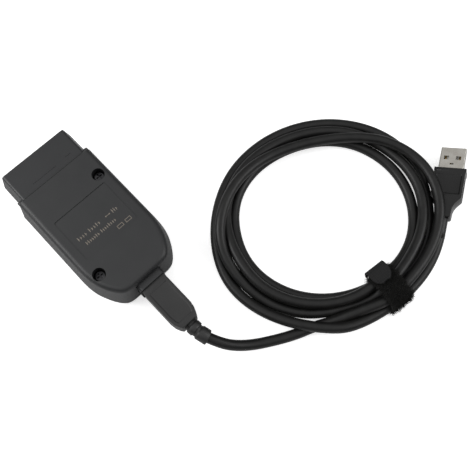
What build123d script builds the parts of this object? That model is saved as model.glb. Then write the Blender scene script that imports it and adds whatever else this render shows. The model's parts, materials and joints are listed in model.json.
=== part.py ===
"""OBD code reader with a USB lead, as separate pieces.

Frame: +X runs from the vehicle connector to the cable end, +Y across, +Z up, millimetres.
The origin is on the table, under the middle of the reader (connector face to bezel face).
"""
from build123d import *
import math
import os

# ---------------------------------------------------------------- driving dimensions, mm
reader_length = 85.7          # connector face to bezel face
connector_reach = 16.4        # connector standing out of the case
body_length = 66.9            # case, at its parting line
body_height = 22.5
parting_z = 8.0
half_width_low = 22.8         # case half width at the parting line
half_width_top = 20.6         # case half width at the top rim
wall = 2.0
seam_bevel = 0.3              # small bevel where the two shells meet
top_round = 2.6               # fillet round the top face
front_chamfer = 0.5           # top face's front edge, over the connector
belly_round = 4.0             # fillet round the bottom face

connector_base_z = 3.8
connector_top_z = 21.2
connector_half_top = 18.2
connector_half_base = 20.3
connector_wall = 1.5
connector_depth = 14.4        # hollow in front of the pins' floor
flange_size = (42.0, 15.2)
flange_thickness = 2.2
shoulder_height = 8.0         # straight part of the connector's sides

pin_pitch = 4.0
pin_row_gap = 8.6
pin_width = 1.5
pin_thick = 0.64
pin_reach = 11.5              # blade standing in the hollow
carrier_length = 4.6
tail_rows_x = (-20.0, -18.0)  # where the lower and upper rows' tails meet the board

screw_spots = [(-12.35, 15.4), (25.05, -15.4)]
screw_well_r = 3.1
screw_well_depth = 4.6
screw_head_r = 2.75
screw_head_height = 1.9
screw_cross = (3.2, 0.7)
screw_shank_r = 1.25
post_r = 4.1

label_size = (24.1, 30.0)
label_x = 4.5
label_depth = 0.3

board_size = (46.0, 37.0)
board_tongue = (24.0, 18.0)   # narrower end of the board, under the USB socket
board_thick = 1.6
board_x = 1.5
board_rests = [(-17.0, -14.0), (20.0, 14.0)]

socket_z = 12.0               # axis of the USB socket and plug
bezel_size = (14.0, 13.0)     # across Y, up Z
bezel_mouth = (13.3, 11.4)
bezel_length = 4.4
socket_size = (16.4, 12.0, 10.9)
socket_sheet = 0.4
plug_mouth = (9.3, 8.6)       # room round the plug's shell in the socket
plug_shell_size = (8.45, 7.78)
plug_shell_reach = 8.7
plug_sheet = 0.4
tongue_size = (5.3, 2.9)
strip_size = (0.7, 0.2)       # contact strips
strip_thick = strip_size[1]
strip_side = 1.25             # contacts from the middle of the tongue

grip_size = (12.9, 11.0)
grip_length = 25.3

cord_d = 5.1
coil_centre = (73.0, 84.0)
coil_height = 12.6
lead_door = (16.0, 6.0)       # cut in the coil's shape, along the lead and across it
usb_a_tail = (113.0, 123.1)   # where the cord enters the computer-end grip
usb_a_heading = 122.0         # degrees, which way that plug points
usb_a_roll = 20.0             # degrees, its right side raised
usb_a_axis_z = 6.4
usb_a_grip_size = (15.2, 7.6)
usb_a_grip_length = 26.0
usb_a_shell_size = (12.0, 4.5)
usb_a_shell_reach = 11.8
usb_a_shoulder = 12.4         # from the tail to where the grip is full size
usb_a_shell_hold = 6.0        # shell held inside the grip
usb_a_tongue_thick = 1.85
tie_heading = 354.0           # degrees round the coil
tie_inner_reach = 36.0        # from the coil's centre
tie_outer_reach = 56.2
tie_height = 12.6
tie_width = 11.0
tie_thick = 1.5
tab_size = (9.0, 10.4)
tab_thick = 2.0
tab_end_round = 4.4           # corners of the tab's outer end
tab_reach = 38.0

# ---------------------------------------------------------------- places worked out from them
front_x = -reader_length / 2
seam_x = front_x + connector_reach
end_x = seam_x + body_length
bezel_x = reader_length / 2
grip_x = bezel_x - 0.5
relief_x = grip_x + grip_length
board_top = socket_z - socket_size[2] / 2
board_base_z = board_top - board_thick
carrier_x = front_x + connector_depth
pin_mid_z = (connector_base_z + connector_top_z) / 2
pin_rows = [pin_mid_z - pin_row_gap / 2, pin_mid_z + pin_row_gap / 2]
pin_columns = [(index - 3.5) * pin_pitch for index in range(8)]
socket_front = bezel_x - 1.2
clear = 0.15


def keep(solid, name):
    """Label a finished piece and write its STEP file."""
    solid.label = name
    export_step(solid, f"parts/{name}.step")


def case_plan(z, half_width, end, inset=0.0):
    """The case's plan outline at a height: square at the connector, round towards the cable."""
    front = seam_x + inset
    side = half_width - inset
    back = end - inset
    with BuildSketch(Plane.XY.offset(z)) as plan:
        with BuildLine() as half:
            Polyline((front, 0), (front, side), (15.6, side))
            Spline(
                (15.6, side), (29.4, side - 2.0), (37.6 - inset / 2, side - 6.9), (back, side - 13.6),
                tangents=((1, 0), (0, -1)),
            )
            Polyline((back, side - 13.6), (back, 0), (front, 0))
        make_face(half.edges())
        mirror(about=Plane.XZ)
    return plan.sketch


def connector_section(x, inset=0.0, corner=1.4):
    """The vehicle connector's section: narrower at the top, with rounded corners."""
    base = connector_half_base - inset
    top = connector_half_top - inset
    low = connector_base_z + inset
    high = connector_top_z - inset
    shoulder_z = connector_base_z + shoulder_height
    with BuildSketch(across(x)) as section:
        with BuildLine() as edge:
            Polyline(
                (-base, low), (base, low), (base, shoulder_z), (top, high),
                (-top, high), (-base, shoulder_z), close=True,
            )
        make_face(edge.edges())
        fillet(section.vertices(), corner)
    return section.sketch


def across(x):
    """A plane square to +X, with its own x along +Y and its own y along +Z."""
    return Plane(origin=(x, 0, 0), x_dir=(0, 1, 0), z_dir=(1, 0, 0))


os.makedirs("parts", exist_ok=True)

# ---------------------------------------------------------------- case shells
with BuildPart() as top_shell:
    loft([
        case_plan(parting_z, half_width_low, end_x).face(),
        case_plan(body_height, half_width_top, end_x - 0.9).face(),
    ], ruled=True)
    fillet(top_shell.faces().sort_by(Axis.Z)[-1].edges().filter_by(
        lambda edge: edge.center().X > seam_x + 0.5), top_round)
    chamfer(top_shell.faces().sort_by(Axis.Z)[0].edges().filter_by(
        lambda edge: edge.center().X > seam_x + 0.5), seam_bevel)
    with BuildSketch(Plane.XY.offset(body_height)):
        with Locations((label_x, 0)):
            RectangleRounded(*label_size, 1.0)
    extrude(amount=-label_depth, mode=Mode.SUBTRACT)
    chamfer(top_shell.edges().filter_by(Axis.Y).filter_by_position(Axis.Z, body_height - 0.1, body_height + 0.1)
            .sort_by(Axis.X)[0], front_chamfer)
    loft([
        case_plan(parting_z, half_width_low, end_x, wall).face(),
        case_plan(body_height - wall, half_width_top + 0.3, end_x - 0.7, wall).face(),
    ], ruled=True, mode=Mode.SUBTRACT)
    with BuildSketch(Plane.XY.offset(parting_z)):
        with Locations(*screw_spots):
            Circle(post_r)
    extrude(amount=body_height - parting_z - wall / 2)
    with Locations(*[(x, y, body_height) for x, y in screw_spots]):
        CounterBoreHole(screw_shank_r + 0.2, screw_well_r, screw_well_depth)
    extrude(connector_section(seam_x - 1, -clear), amount=wall + 2, mode=Mode.SUBTRACT)
    with BuildSketch(across(end_x - bezel_length)):
        with Locations((0, socket_z)):
            Rectangle(bezel_size[0] + 2 * clear, bezel_size[1] + 2 * clear)
    extrude(amount=bezel_length + 2, mode=Mode.SUBTRACT)
keep(top_shell.part, "top_shell")

with BuildPart() as bottom_shell:
    loft([
        case_plan(0, half_width_low - 1.2, end_x - 1.2).face(),
        case_plan(parting_z, half_width_low, end_x).face(),
    ], ruled=True)
    fillet(bottom_shell.faces().sort_by(Axis.Z)[0].edges().filter_by(
        lambda edge: edge.center().X > seam_x + 0.5), belly_round)
    chamfer(bottom_shell.faces().sort_by(Axis.Z)[-1].edges().filter_by(
        lambda edge: edge.center().X > seam_x + 0.5), seam_bevel)
    loft([
        case_plan(wall, half_width_low - 0.9, end_x - 0.9, wall).face(),
        case_plan(parting_z, half_width_low, end_x, wall).face(),
    ], ruled=True, mode=Mode.SUBTRACT)
    with BuildSketch(Plane.XY.offset(wall / 2)):
        with Locations(*screw_spots):
            Circle(post_r)
        with Locations(*board_rests):
            Circle(2.0)
    extrude(amount=board_base_z - wall / 2)
    with BuildSketch(Plane.XY.offset(board_base_z)):
        with Locations(*screw_spots):
            Circle(post_r - 1.6)
    extrude(amount=parting_z - board_base_z)
    with Locations(*[(x, y, parting_z) for x, y in screw_spots]):
        Hole(screw_shank_r, depth=parting_z - wall)
    extrude(connector_section(seam_x - 1, -clear), amount=wall + 2, mode=Mode.SUBTRACT)
    with BuildSketch(across(end_x - bezel_length)):
        with Locations((0, socket_z)):
            Rectangle(bezel_size[0] + 2 * clear, bezel_size[1] + 2 * clear)
    extrude(amount=bezel_length + 2, mode=Mode.SUBTRACT)
keep(bottom_shell.part, "bottom_shell")

head_z = body_height - screw_well_depth
screws = []
for x, y in screw_spots:
    with BuildPart() as screw:
        with BuildSketch(Plane.XY.offset(head_z)):
            with Locations((x, y)):
                Circle(screw_head_r)
        extrude(amount=screw_head_height)
        fillet(screw.faces().sort_by(Axis.Z)[-1].edges(), 0.7)
        with BuildSketch(Plane.XY.offset(head_z)):
            with Locations((x, y)):
                Circle(screw_shank_r)
        extrude(amount=-(head_z - wall - 0.6))
        with BuildSketch(Plane.XY.offset(head_z + screw_head_height)):
            with Locations((x, y)):
                Rectangle(*screw_cross)
                Rectangle(*screw_cross, rotation=90)
        extrude(amount=-1.2, mode=Mode.SUBTRACT)
    screws.append(screw.part)
keep(Compound(children=screws), "case_screws")

# ---------------------------------------------------------------- vehicle connector
with BuildPart() as obd_shroud:
    extrude(connector_section(front_x), amount=seam_x - front_x + wall + 1.0)
    with BuildSketch(across(seam_x - flange_thickness)):
        with Locations((0, pin_mid_z - 0.8)):
            RectangleRounded(*flange_size, 1.2)
    extrude(amount=flange_thickness)
    extrude(connector_section(front_x, connector_wall, 0.8), amount=connector_depth, mode=Mode.SUBTRACT)
    extrude(connector_section(carrier_x, connector_wall + 1.2, 0.8), amount=6, mode=Mode.SUBTRACT)
    with BuildSketch(Plane.XY.offset(connector_top_z - 0.2)):
        with Locations((seam_x - 4.0, -2.8)):
            Rectangle(0.9, 13.4)
        with Locations((seam_x - 4.5, 11.5)):
            Rectangle(0.9, 3.2)
    extrude(amount=0.32)
keep(obd_shroud.part, "obd_shroud")

with BuildPart() as obd_pin_carrier:
    extrude(connector_section(carrier_x + 0.05, connector_wall + 1.3, 0.7), amount=carrier_length)
    with BuildSketch(across(carrier_x)):
        for row in pin_rows:
            with Locations(*[(column, row) for column in pin_columns]):
                Rectangle(pin_width, pin_thick)
    extrude(amount=carrier_length + 1, mode=Mode.SUBTRACT)
keep(obd_pin_carrier.part, "obd_pin_carrier")

pins = []
for row, tail_x in zip(pin_rows, tail_rows_x):
    for column in pin_columns:
        with BuildPart() as pin:
            with BuildSketch(across(carrier_x - pin_reach)):
                with Locations((column, row)):
                    Rectangle(pin_width, pin_thick)
            extrude(amount=tail_x - carrier_x + pin_reach)
            chamfer(pin.faces().sort_by(Axis.X)[0].edges().filter_by(Axis.Y), 0.2)
            with BuildSketch(Plane.XY.offset(board_top)):
                with Locations((tail_x - pin_thick / 2, column)):
                    Rectangle(pin_thick, pin_width)
            extrude(amount=row - board_top)
        pins.append(pin.part)
keep(Compound(children=pins), "obd_pins")

# ---------------------------------------------------------------- circuit board and what is on it
with BuildPart() as circuit_board:
    with BuildSketch(Plane.XY.offset(board_base_z)):
        with Locations((board_x, 0)):
            RectangleRounded(*board_size, 1.5)
        with Locations((board_x + board_size[0] / 2, 0)):
            Rectangle(*board_tongue)
        with Locations(*screw_spots):
            Circle(post_r + 0.3, mode=Mode.SUBTRACT)
    extrude(amount=board_thick)
keep(circuit_board.part, "circuit_board")


def chip(x, y, length, width, height, legs, pitch, name, both_ways=False):
    """A moulded chip with gull legs along two sides, or all four."""
    body_gap = 0.12
    leg_reach = 0.9
    with BuildPart() as piece:
        with BuildSketch(Plane.XY.offset(board_top + body_gap)):
            with Locations((x, y)):
                Rectangle(length, width)
        extrude(amount=height - body_gap)
        chamfer(piece.faces().sort_by(Axis.Z)[-1].edges(), 0.2)
        run = (legs - 1) * pitch / 2
        with BuildSketch(Plane.XY.offset(board_top)):
            for index in range(legs):
                offset_along = index * pitch - run
                with Locations((x + offset_along, y)):
                    Rectangle(pitch * 0.45, width + 2 * leg_reach)
                if both_ways:
                    with Locations((x, y + offset_along)):
                        Rectangle(length + 2 * leg_reach, pitch * 0.45)
        extrude(amount=0.35)
    keep(piece.part, name)


chip(-1.0, 1.0, 10.0, 10.0, 1.5, 11, 0.8, "microcontroller", both_ways=True)
chip(14.0, 9.5, 10.2, 5.3, 1.75, 14, 0.65, "usb_interface_chip")
chip(-13.5, -9.5, 4.9, 3.9, 1.5, 4, 1.27, "can_transceiver")
chip(-12.5, 2.5, 8.7, 3.9, 1.5, 7, 1.27, "k_line_driver")

with BuildPart() as crystal:
    with BuildSketch(Plane.XY.offset(board_top)):
        with Locations((1.0, 12.0)):
            SlotOverall(11.0, 4.7)
    extrude(amount=0.6)
    with BuildSketch(Plane.XY.offset(board_top + 0.6)):
        with Locations((1.0, 12.0)):
            SlotOverall(10.2, 3.9)
    extrude(amount=2.9)
    fillet(crystal.faces().sort_by(Axis.Z)[-1].edges(), 0.4)
keep(crystal.part, "crystal")

with BuildPart() as voltage_regulator:
    with BuildSketch(Plane.XY.offset(board_top)):
        with Locations((-1.5, -12.5)):
            Rectangle(6.5, 3.5)
        with Locations((-1.5, -9.9)):
            Rectangle(3.0, 1.9)
        with Locations(*[(-1.5 + step, -15.0) for step in (-2.3, 0.0, 2.3)]):
            Rectangle(0.75, 1.7)
    extrude(amount=0.3)
    with BuildSketch(Plane.XY.offset(board_top + 0.3)):
        with Locations((-1.5, -12.5)):
            Rectangle(6.5, 3.5)
    extrude(amount=1.3)
    chamfer(voltage_regulator.faces().sort_by(Axis.Z)[-1].edges(), 0.3)
keep(voltage_regulator.part, "voltage_regulator")

cans = []
for x, y in ((9.5, -12.0), (17.0, -8.0)):
    with BuildPart() as can:
        with BuildSketch(Plane.XY.offset(board_top)):
            with Locations((x, y)):
                Rectangle(6.6, 6.6)
        extrude(amount=0.9)
        with BuildSketch(Plane.XY.offset(board_top + 0.9)):
            with Locations((x, y)):
                Circle(3.15)
        extrude(amount=4.7)
        fillet(can.faces().sort_by(Axis.Z)[-1].edges(), 0.5)
    cans.append(can.part)
keep(Compound(children=cans), "capacitors")

passives = []
for x, y in [(-7.5 + 2.6 * step, -6.6) for step in range(6)] + [(-9.5 + 2.6 * step, 8.4) for step in range(3)] \
        + [(8.6, -3.0 + 2.4 * step) for step in range(4)]:
    with BuildPart() as resistor:
        with BuildSketch(Plane.XY.offset(board_top)):
            with Locations((x, y)):
                Rectangle(1.2, 2.0)
        extrude(amount=0.6)
        chamfer(resistor.faces().sort_by(Axis.Z)[-1].edges(), 0.1)
    passives.append(resistor.part)
keep(Compound(children=passives), "chip_passives")

# ---------------------------------------------------------------- USB socket in the end wall
with BuildPart() as usb_bezel:
    with BuildSketch(across(bezel_x - bezel_length)):
        with Locations((0, socket_z)):
            RectangleRounded(bezel_size[0], bezel_size[1], 1.6)
            Rectangle(*bezel_mouth, mode=Mode.SUBTRACT)
    extrude(amount=bezel_length)
keep(usb_bezel.part, "usb_bezel")

socket_x = socket_front - socket_size[0]
with BuildPart() as usb_socket_shell:
    with BuildSketch(across(socket_x)):
        with Locations((0, socket_z)):
            Rectangle(socket_size[1], socket_size[2])
    extrude(amount=socket_size[0] - bezel_length + 1.2)
    with BuildSketch(across(socket_x + socket_sheet)):
        with Locations((0, socket_z)):
            Rectangle(socket_size[1] - 2 * socket_sheet, socket_size[2] - 2 * socket_sheet)
    extrude(amount=socket_size[0], mode=Mode.SUBTRACT)
keep(usb_socket_shell.part, "usb_socket_shell")

insulator_x = socket_x + socket_sheet
insulator_front = socket_front - bezel_length + 1.2
with BuildPart() as usb_socket_insulator:
    with BuildSketch(across(insulator_x)):
        with Locations((0, socket_z)):
            Rectangle(socket_size[1] - 2 * socket_sheet, socket_size[2] - 2 * socket_sheet)
    extrude(amount=insulator_front - insulator_x)
    with BuildSketch(across(grip_x - plug_shell_reach - 0.4)):
        with Locations((0, socket_z)):
            Rectangle(*plug_mouth)
    extrude(amount=20, mode=Mode.SUBTRACT)
    with BuildSketch(across(insulator_x)):
        with Locations((0, socket_z)):
            Rectangle(*tongue_size)
    extrude(amount=insulator_front - insulator_x - 0.6)
keep(usb_socket_insulator.part, "usb_socket_insulator")

strips = []
for side in (-1, 1):
    for row in (-1, 1):
        with BuildPart() as strip:
            with BuildSketch(across(grip_x - plug_shell_reach + 0.2)):
                with Locations((side * strip_side, socket_z + row * (tongue_size[1] + strip_thick) / 2)):
                    Rectangle(*strip_size)
            extrude(amount=5.4)
        strips.append(strip.part)
keep(Compound(children=strips), "usb_socket_contacts")

# ---------------------------------------------------------------- device-end plug


def plug_section(x, shrink=0.0):
    """The plug's D section: two upper corners cut away."""
    half = plug_shell_size[0] / 2 - shrink
    low = socket_z - plug_shell_size[1] / 2 + shrink
    high = socket_z + plug_shell_size[1] / 2 - shrink
    cut = 1.6
    with BuildSketch(across(x)) as section:
        with BuildLine() as edge:
            Polyline(
                (-half, low), (half, low), (half, high - cut), (half - cut, high),
                (-half + cut, high), (-half, high - cut), close=True,
            )
        make_face(edge.edges())
    return section.sketch


shell_hold = 5.0
with BuildPart() as usb_b_shell:
    extrude(plug_section(grip_x - plug_shell_reach), amount=plug_shell_reach + shell_hold)
    extrude(plug_section(grip_x - plug_shell_reach, plug_sheet), amount=plug_shell_reach + shell_hold,
            mode=Mode.SUBTRACT)
keep(usb_b_shell.part, "usb_b_shell")

insert_x = grip_x - plug_shell_reach + 0.3
with BuildPart() as usb_b_insulator:
    extrude(plug_section(insert_x, plug_sheet), amount=plug_shell_reach + shell_hold - 0.3)
    with BuildSketch(across(insert_x - 1)):
        with Locations((0, socket_z)):
            Rectangle(tongue_size[0] + 0.5, tongue_size[1] + 1.2)
    extrude(amount=plug_shell_reach, mode=Mode.SUBTRACT)
keep(usb_b_insulator.part, "usb_b_insulator")

fingers = []
for side in (-1, 1):
    for row in (-1, 1):
        with BuildPart() as finger:
            with BuildSketch(across(insert_x + 1.5)):
                with Locations((side * strip_side, socket_z + row * (tongue_size[1] / 2 + 0.5))):
                    Rectangle(*strip_size)
            extrude(amount=plug_shell_reach - 2.5)
        fingers.append(finger.part)
keep(Compound(children=fingers), "usb_b_contacts")

with BuildPart() as usb_b_grip:
    with BuildSketch(across(grip_x)):
        with Locations((0, socket_z)):
            Rectangle(*grip_size)
    extrude(amount=grip_length)
    with BuildSketch():
        with BuildLine():
            Polyline(
                (grip_x + 19.5, 9.0), (grip_x + 19.5, grip_size[0] / 2),
                (relief_x + 0.01, 4.1), (relief_x + 0.01, 9.0), close=True,
            )
        make_face()
        mirror(about=Plane.XZ)
    extrude(amount=30, mode=Mode.SUBTRACT)
    chamfer(usb_b_grip.edges().filter_by(Axis.X), 1.2)
    fillet(usb_b_grip.faces().sort_by(Axis.X)[-1].edges(), 0.8)
    extrude(plug_section(grip_x), amount=shell_hold, mode=Mode.SUBTRACT)
keep(usb_b_grip.part, "usb_b_grip")

# ---------------------------------------------------------------- the cord's route
# The relief bends a little to the cord's side and down towards the table.
relief_end = (77.0, 1.5, 10.3)
floor_z = cord_d / 2
route = [
    relief_end,
    (83.1, 4.2, 8.7),
    (88.7, 9.1, 5.8),
    (93.3, 15.2, 3.4),
    (97.2, 21.7, floor_z),
    (100.8, 28.0, floor_z),
    (103.7, 34.0, floor_z),
    (105.9, 40.0, floor_z),
]


def arc_radii(points):
    """Each corner's arc: 0.45 of its shorter run over the tangent of half the turn."""
    radii = []
    for before, here, after in zip(points, points[1:], points[2:]):
        first = Vector(*here) - Vector(*before)
        second = Vector(*after) - Vector(*here)
        half_turn = math.radians(first.get_angle(second)) / 2
        radii.append(0.45 * min(first.length, second.length) / math.tan(half_turn))
    return radii


lead_radii = arc_radii(route)
print("lead arc radii", [round(radius, 1) for radius in lead_radii])
with BuildPart() as cable_lead:
    with BuildLine() as lead_path:
        FilletPolyline(*route, radius=lead_radii)
    with BuildSketch(Plane(origin=lead_path.line @ 0, z_dir=lead_path.line % 0)):
        Circle(cord_d / 2)
    sweep()
lead_length = lead_path.wire().length
print("lead length", round(lead_length, 1), "volume ratio",
      round(cable_lead.part.volume / (math.pi * cord_d ** 2 / 4 * lead_length), 4))
keep(cable_lead.part, "cable_lead")

# ---------------------------------------------------------------- strain relief
# Each ring's start and end along the sleeve, as parts of its length, and its radius.
relief_rings = [(0.0, 0.3, 3.3), (0.17, 0.42, 3.7), (0.36, 0.62, 3.1), (0.56, 1.0, 3.6)]
with BuildPart() as strain_relief:
    with BuildLine() as relief_path:
        Spline((relief_x, 0, socket_z), relief_end, tangents=((1, 0, -0.1), Vector(*route[1]) - Vector(*route[0])))
    for start, stop, radius in relief_rings:
        with BuildSketch(Plane(origin=relief_path.line @ start, z_dir=relief_path.line % start)):
            Circle(radius)
        extrude(amount=(stop - start) * relief_path.wire().length)
    split(bisect_by=Plane(origin=(relief_x, 0, 0), z_dir=(1, 0, 0)), keep=Keep.TOP)
    add(cable_lead.part, mode=Mode.SUBTRACT)
keep(strain_relief.part, "strain_relief")

# ---------------------------------------------------------------- computer-end plug
heading = math.radians(usb_a_heading)
roll = math.radians(usb_a_roll)
plug_way = Vector(math.cos(heading), math.sin(heading), 0)
plug_left = Vector(-math.sin(heading), math.cos(heading), 0)
plug_left_rolled = plug_left * math.cos(roll) - Vector(0, 0, math.sin(roll))


def along_plug(distance):
    """A plane square to the plug, its x towards the plug's left side and its y up."""
    tail = Vector(*usb_a_tail, usb_a_axis_z)
    return Plane(origin=tail + plug_way * distance, x_dir=plug_left_rolled, z_dir=plug_way)


shell_root = usb_a_grip_length - usb_a_shell_hold
shell_tip = usb_a_grip_length + usb_a_shell_reach
shell_sheet = 0.35
spring_slot_offset = 3.3
with BuildPart() as usb_a_grip:
    for distance, size, corner in ((0, (6.2, 6.2), 3.0), (3.6, (9.0, 6.8), 3.0), (usb_a_shoulder, usb_a_grip_size, 1.6)):
        with BuildSketch(along_plug(distance)):
            RectangleRounded(*size, corner)
    loft(ruled=True)
    with BuildSketch(along_plug(usb_a_shoulder)):
        RectangleRounded(*usb_a_grip_size, 1.6)
    extrude(amount=usb_a_grip_length - usb_a_shoulder)
    with BuildSketch(along_plug(shell_root)):
        Rectangle(*usb_a_shell_size)
    extrude(amount=10, mode=Mode.SUBTRACT)
keep(usb_a_grip.part, "usb_a_grip")

inside = (usb_a_shell_size[0] - 2 * shell_sheet, usb_a_shell_size[1] - 2 * shell_sheet)
with BuildPart() as usb_a_shell:
    with BuildSketch(along_plug(shell_root)):
        RectangleRounded(*usb_a_shell_size, 0.5)
    extrude(amount=shell_tip - shell_root)
    with BuildSketch(along_plug(shell_root)):
        Rectangle(*inside)
    extrude(amount=shell_tip - shell_root, mode=Mode.SUBTRACT)
    # two latch windows and the slot of the earth spring, through both broad faces
    window_plane = along_plug(shell_tip - 5.6)
    with BuildSketch(Plane(origin=window_plane.origin, x_dir=window_plane.x_dir, z_dir=window_plane.y_dir)):
        with Locations((-2.85, 0), (2.85, 0)):
            Rectangle(2.4, 2.0)
        with Locations((0, spring_slot_offset)):
            Rectangle(1.8, 0.8)
    extrude(amount=usb_a_shell_size[1], both=True, mode=Mode.SUBTRACT)
keep(usb_a_shell.part, "usb_a_shell")

tongue_y = -inside[1] / 2 + usb_a_tongue_thick / 2
tongue_root = 6.4
with BuildPart() as usb_a_insulator:
    with BuildSketch(along_plug(shell_root)):
        Rectangle(*inside)
    extrude(amount=tongue_root)
    with BuildSketch(along_plug(shell_root + tongue_root)):
        with Locations((0, tongue_y)):
            Rectangle(inside[0], usb_a_tongue_thick)
    extrude(amount=shell_tip - shell_root - 7.0)
keep(usb_a_insulator.part, "usb_a_insulator")

strips = []
for place, start in ((-3.5, 8.6), (-1.0, 9.8), (1.0, 9.8), (3.5, 8.6)):
    with BuildPart() as strip:
        with BuildSketch(along_plug(shell_root + tongue_root)):
            with Locations((place, tongue_y + usb_a_tongue_thick / 2 + strip_thick / 2)):
                Rectangle(1.0, strip_thick)
        extrude(amount=start)
    strips.append(strip.part)
keep(Compound(children=strips), "usb_a_contacts")

# ---------------------------------------------------------------- tie round the coil
tie_turn = math.radians(tie_heading)
tie_out = Vector(math.cos(tie_turn), math.sin(tie_turn), 0)
tie_middle = Vector(*coil_centre, 0) + tie_out * ((tie_inner_reach + tie_outer_reach) / 2)
tie_plane = Plane(
    origin=tie_middle + Vector(0, 0, tie_height / 2), x_dir=tie_out,
    z_dir=Vector(-tie_out.Y, tie_out.X, 0),
)
loop_size = (tie_outer_reach - tie_inner_reach, tie_height)
with BuildPart() as tie_band:
    with BuildSketch(tie_plane):
        RectangleRounded(*loop_size, 3.4)
        RectangleRounded(loop_size[0] - 2 * tie_thick, loop_size[1] - 2 * tie_thick, 2.0, mode=Mode.SUBTRACT)
    extrude(amount=tie_width / 2, both=True)
keep(tie_band.part, "tie_band")

with BuildPart() as tie_tab:
    tab_middle = Vector(*coil_centre, tie_height) + tie_out * tab_reach
    with BuildSketch(Plane(origin=tab_middle, x_dir=tie_out, z_dir=(0, 0, 1))):
        tab_outline = Rectangle(*tab_size)
        fillet(tab_outline.vertices().group_by(Axis.X)[-1], tab_end_round)
    extrude(amount=tab_thick)
keep(tie_tab.part, "tie_tab")

# ---------------------------------------------------------------- the coil's outer shape
# How far the turns reach from the coil's centre, every 30 degrees, starting towards +X.
inner_reach = [37.6, 39.8, 40.6, 40.6, 38.2, 36.0, 37.6, 42.2, 42.4, 41.4, 38.2, 36.6]
outer_reach = [54.2, 57.2, 60.2, 58.4, 55.6, 53.0, 52.8, 54.0, 58.0, 59.6, 57.0, 55.0]


def ring_points(reaches):
    """Points round the coil's centre, one for each reach."""
    step = 2 * math.pi / len(reaches)
    return [
        (coil_centre[0] + reach * math.cos(index * step), coil_centre[1] + reach * math.sin(index * step))
        for index, reach in enumerate(reaches)
    ]


with BuildPart() as cable_coil:
    with BuildSketch():
        with BuildLine():
            Spline(*ring_points(outer_reach), periodic=True)
        make_face()
        with BuildLine():
            Spline(*ring_points(inner_reach), periodic=True)
        make_face(mode=Mode.SUBTRACT)
    extrude(amount=coil_height)
    fillet(cable_coil.faces().sort_by(Axis.Z)[-1].edges(), 2.4)
    # room for the computer-end plug
    notch_middle = Vector(*usb_a_tail, 0) + plug_way * 20
    with BuildSketch(Plane(origin=notch_middle, x_dir=plug_way, z_dir=(0, 0, 1))):
        Rectangle(40, 18.4)
    extrude(amount=coil_height + 1, mode=Mode.SUBTRACT)
    # the tie's seat
    with BuildSketch(tie_plane):
        Rectangle(loop_size[0] + 6, loop_size[1] + 6)
        RectangleRounded(loop_size[0] - 2 * tie_thick, loop_size[1] - 2 * tie_thick, 2.0, mode=Mode.SUBTRACT)
    extrude(amount=tie_width / 2, both=True, mode=Mode.SUBTRACT)
    # the way in for the end of the lead, under the outer turn
    lead_way = lead_path.line % 1
    with BuildSketch(Plane(origin=Vector(route[-1][0], route[-1][1], 0), x_dir=lead_way, z_dir=(0, 0, 1))):
        with Locations((-lead_door[0] / 2, 0)):
            Rectangle(*lead_door)
    extrude(amount=coil_height + 1, mode=Mode.SUBTRACT)
keep(cable_coil.part, "cable_coil")
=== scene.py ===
# %% [markdown]
# # A diagnostic code reader with a tied lead
# The object is a hand-sized reader that plugs into a vehicle's diagnostic socket, with a lead that
# ends in a computer plug. The case, the plugs and everything inside come ready from the CAD frame at
# their true sizes. This lesson adds what CAD is poor at: the soft cord and its loose coil, the fuzzy
# tie, the moulded grips, the print, and the finish of every surface.

# %% Load the frame
import json
import math

import bpy
import numpy as np
from mathutils import Matrix, Vector


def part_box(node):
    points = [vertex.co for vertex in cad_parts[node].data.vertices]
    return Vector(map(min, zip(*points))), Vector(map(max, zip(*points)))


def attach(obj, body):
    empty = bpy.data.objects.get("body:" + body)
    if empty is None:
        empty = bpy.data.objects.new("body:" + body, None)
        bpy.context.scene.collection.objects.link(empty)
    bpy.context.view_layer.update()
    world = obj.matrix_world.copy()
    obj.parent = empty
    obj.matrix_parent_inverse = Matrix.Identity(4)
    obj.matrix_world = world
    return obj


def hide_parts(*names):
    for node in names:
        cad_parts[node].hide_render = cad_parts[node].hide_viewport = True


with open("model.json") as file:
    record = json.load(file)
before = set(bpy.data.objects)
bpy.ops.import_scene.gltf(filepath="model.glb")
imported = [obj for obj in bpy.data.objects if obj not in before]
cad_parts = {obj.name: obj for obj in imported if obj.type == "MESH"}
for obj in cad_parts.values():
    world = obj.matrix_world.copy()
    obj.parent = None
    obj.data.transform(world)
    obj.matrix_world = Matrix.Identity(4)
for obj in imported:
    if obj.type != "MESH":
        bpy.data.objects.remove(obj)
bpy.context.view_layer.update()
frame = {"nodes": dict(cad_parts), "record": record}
nodes = frame["nodes"]
MM = 0.001


def corners_mm(node):
    """A CAD node's lowest and highest corners, in millimetres."""
    low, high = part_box(node)
    return low / MM, high / MM


# %% [markdown]
# ## The camera
# A flat object is shown best from almost overhead, where the top of the case and the whole coil are
# in sight. The camera is placed by where it looks, which way round and how high it stands, and how
# far away it is, which is easier to adjust than three raw coordinates.

# %% Place the camera
AIM = Vector((48.15, 46.26, 0.0)) * MM
AZIMUTH, ELEVATION = math.radians(46.4), math.radians(72.0)
DISTANCE = 0.3241
towards_camera = Vector((
    math.sin(AZIMUTH) * math.cos(ELEVATION),
    -math.cos(AZIMUTH) * math.cos(ELEVATION),
    math.sin(ELEVATION),
))
bpy.ops.object.camera_add(location=AIM + towards_camera * DISTANCE)
camera = bpy.context.object
camera.name = "camera"
camera.rotation_euler = (-towards_camera).to_track_quat("-Z", "Y").to_euler()
camera.data.lens = 50.7
camera.data.sensor_width = 36.0
camera.data.clip_start = 0.01
bpy.context.scene.camera = camera
print("camera at", [round(c, 3) for c in camera.location])

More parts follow.
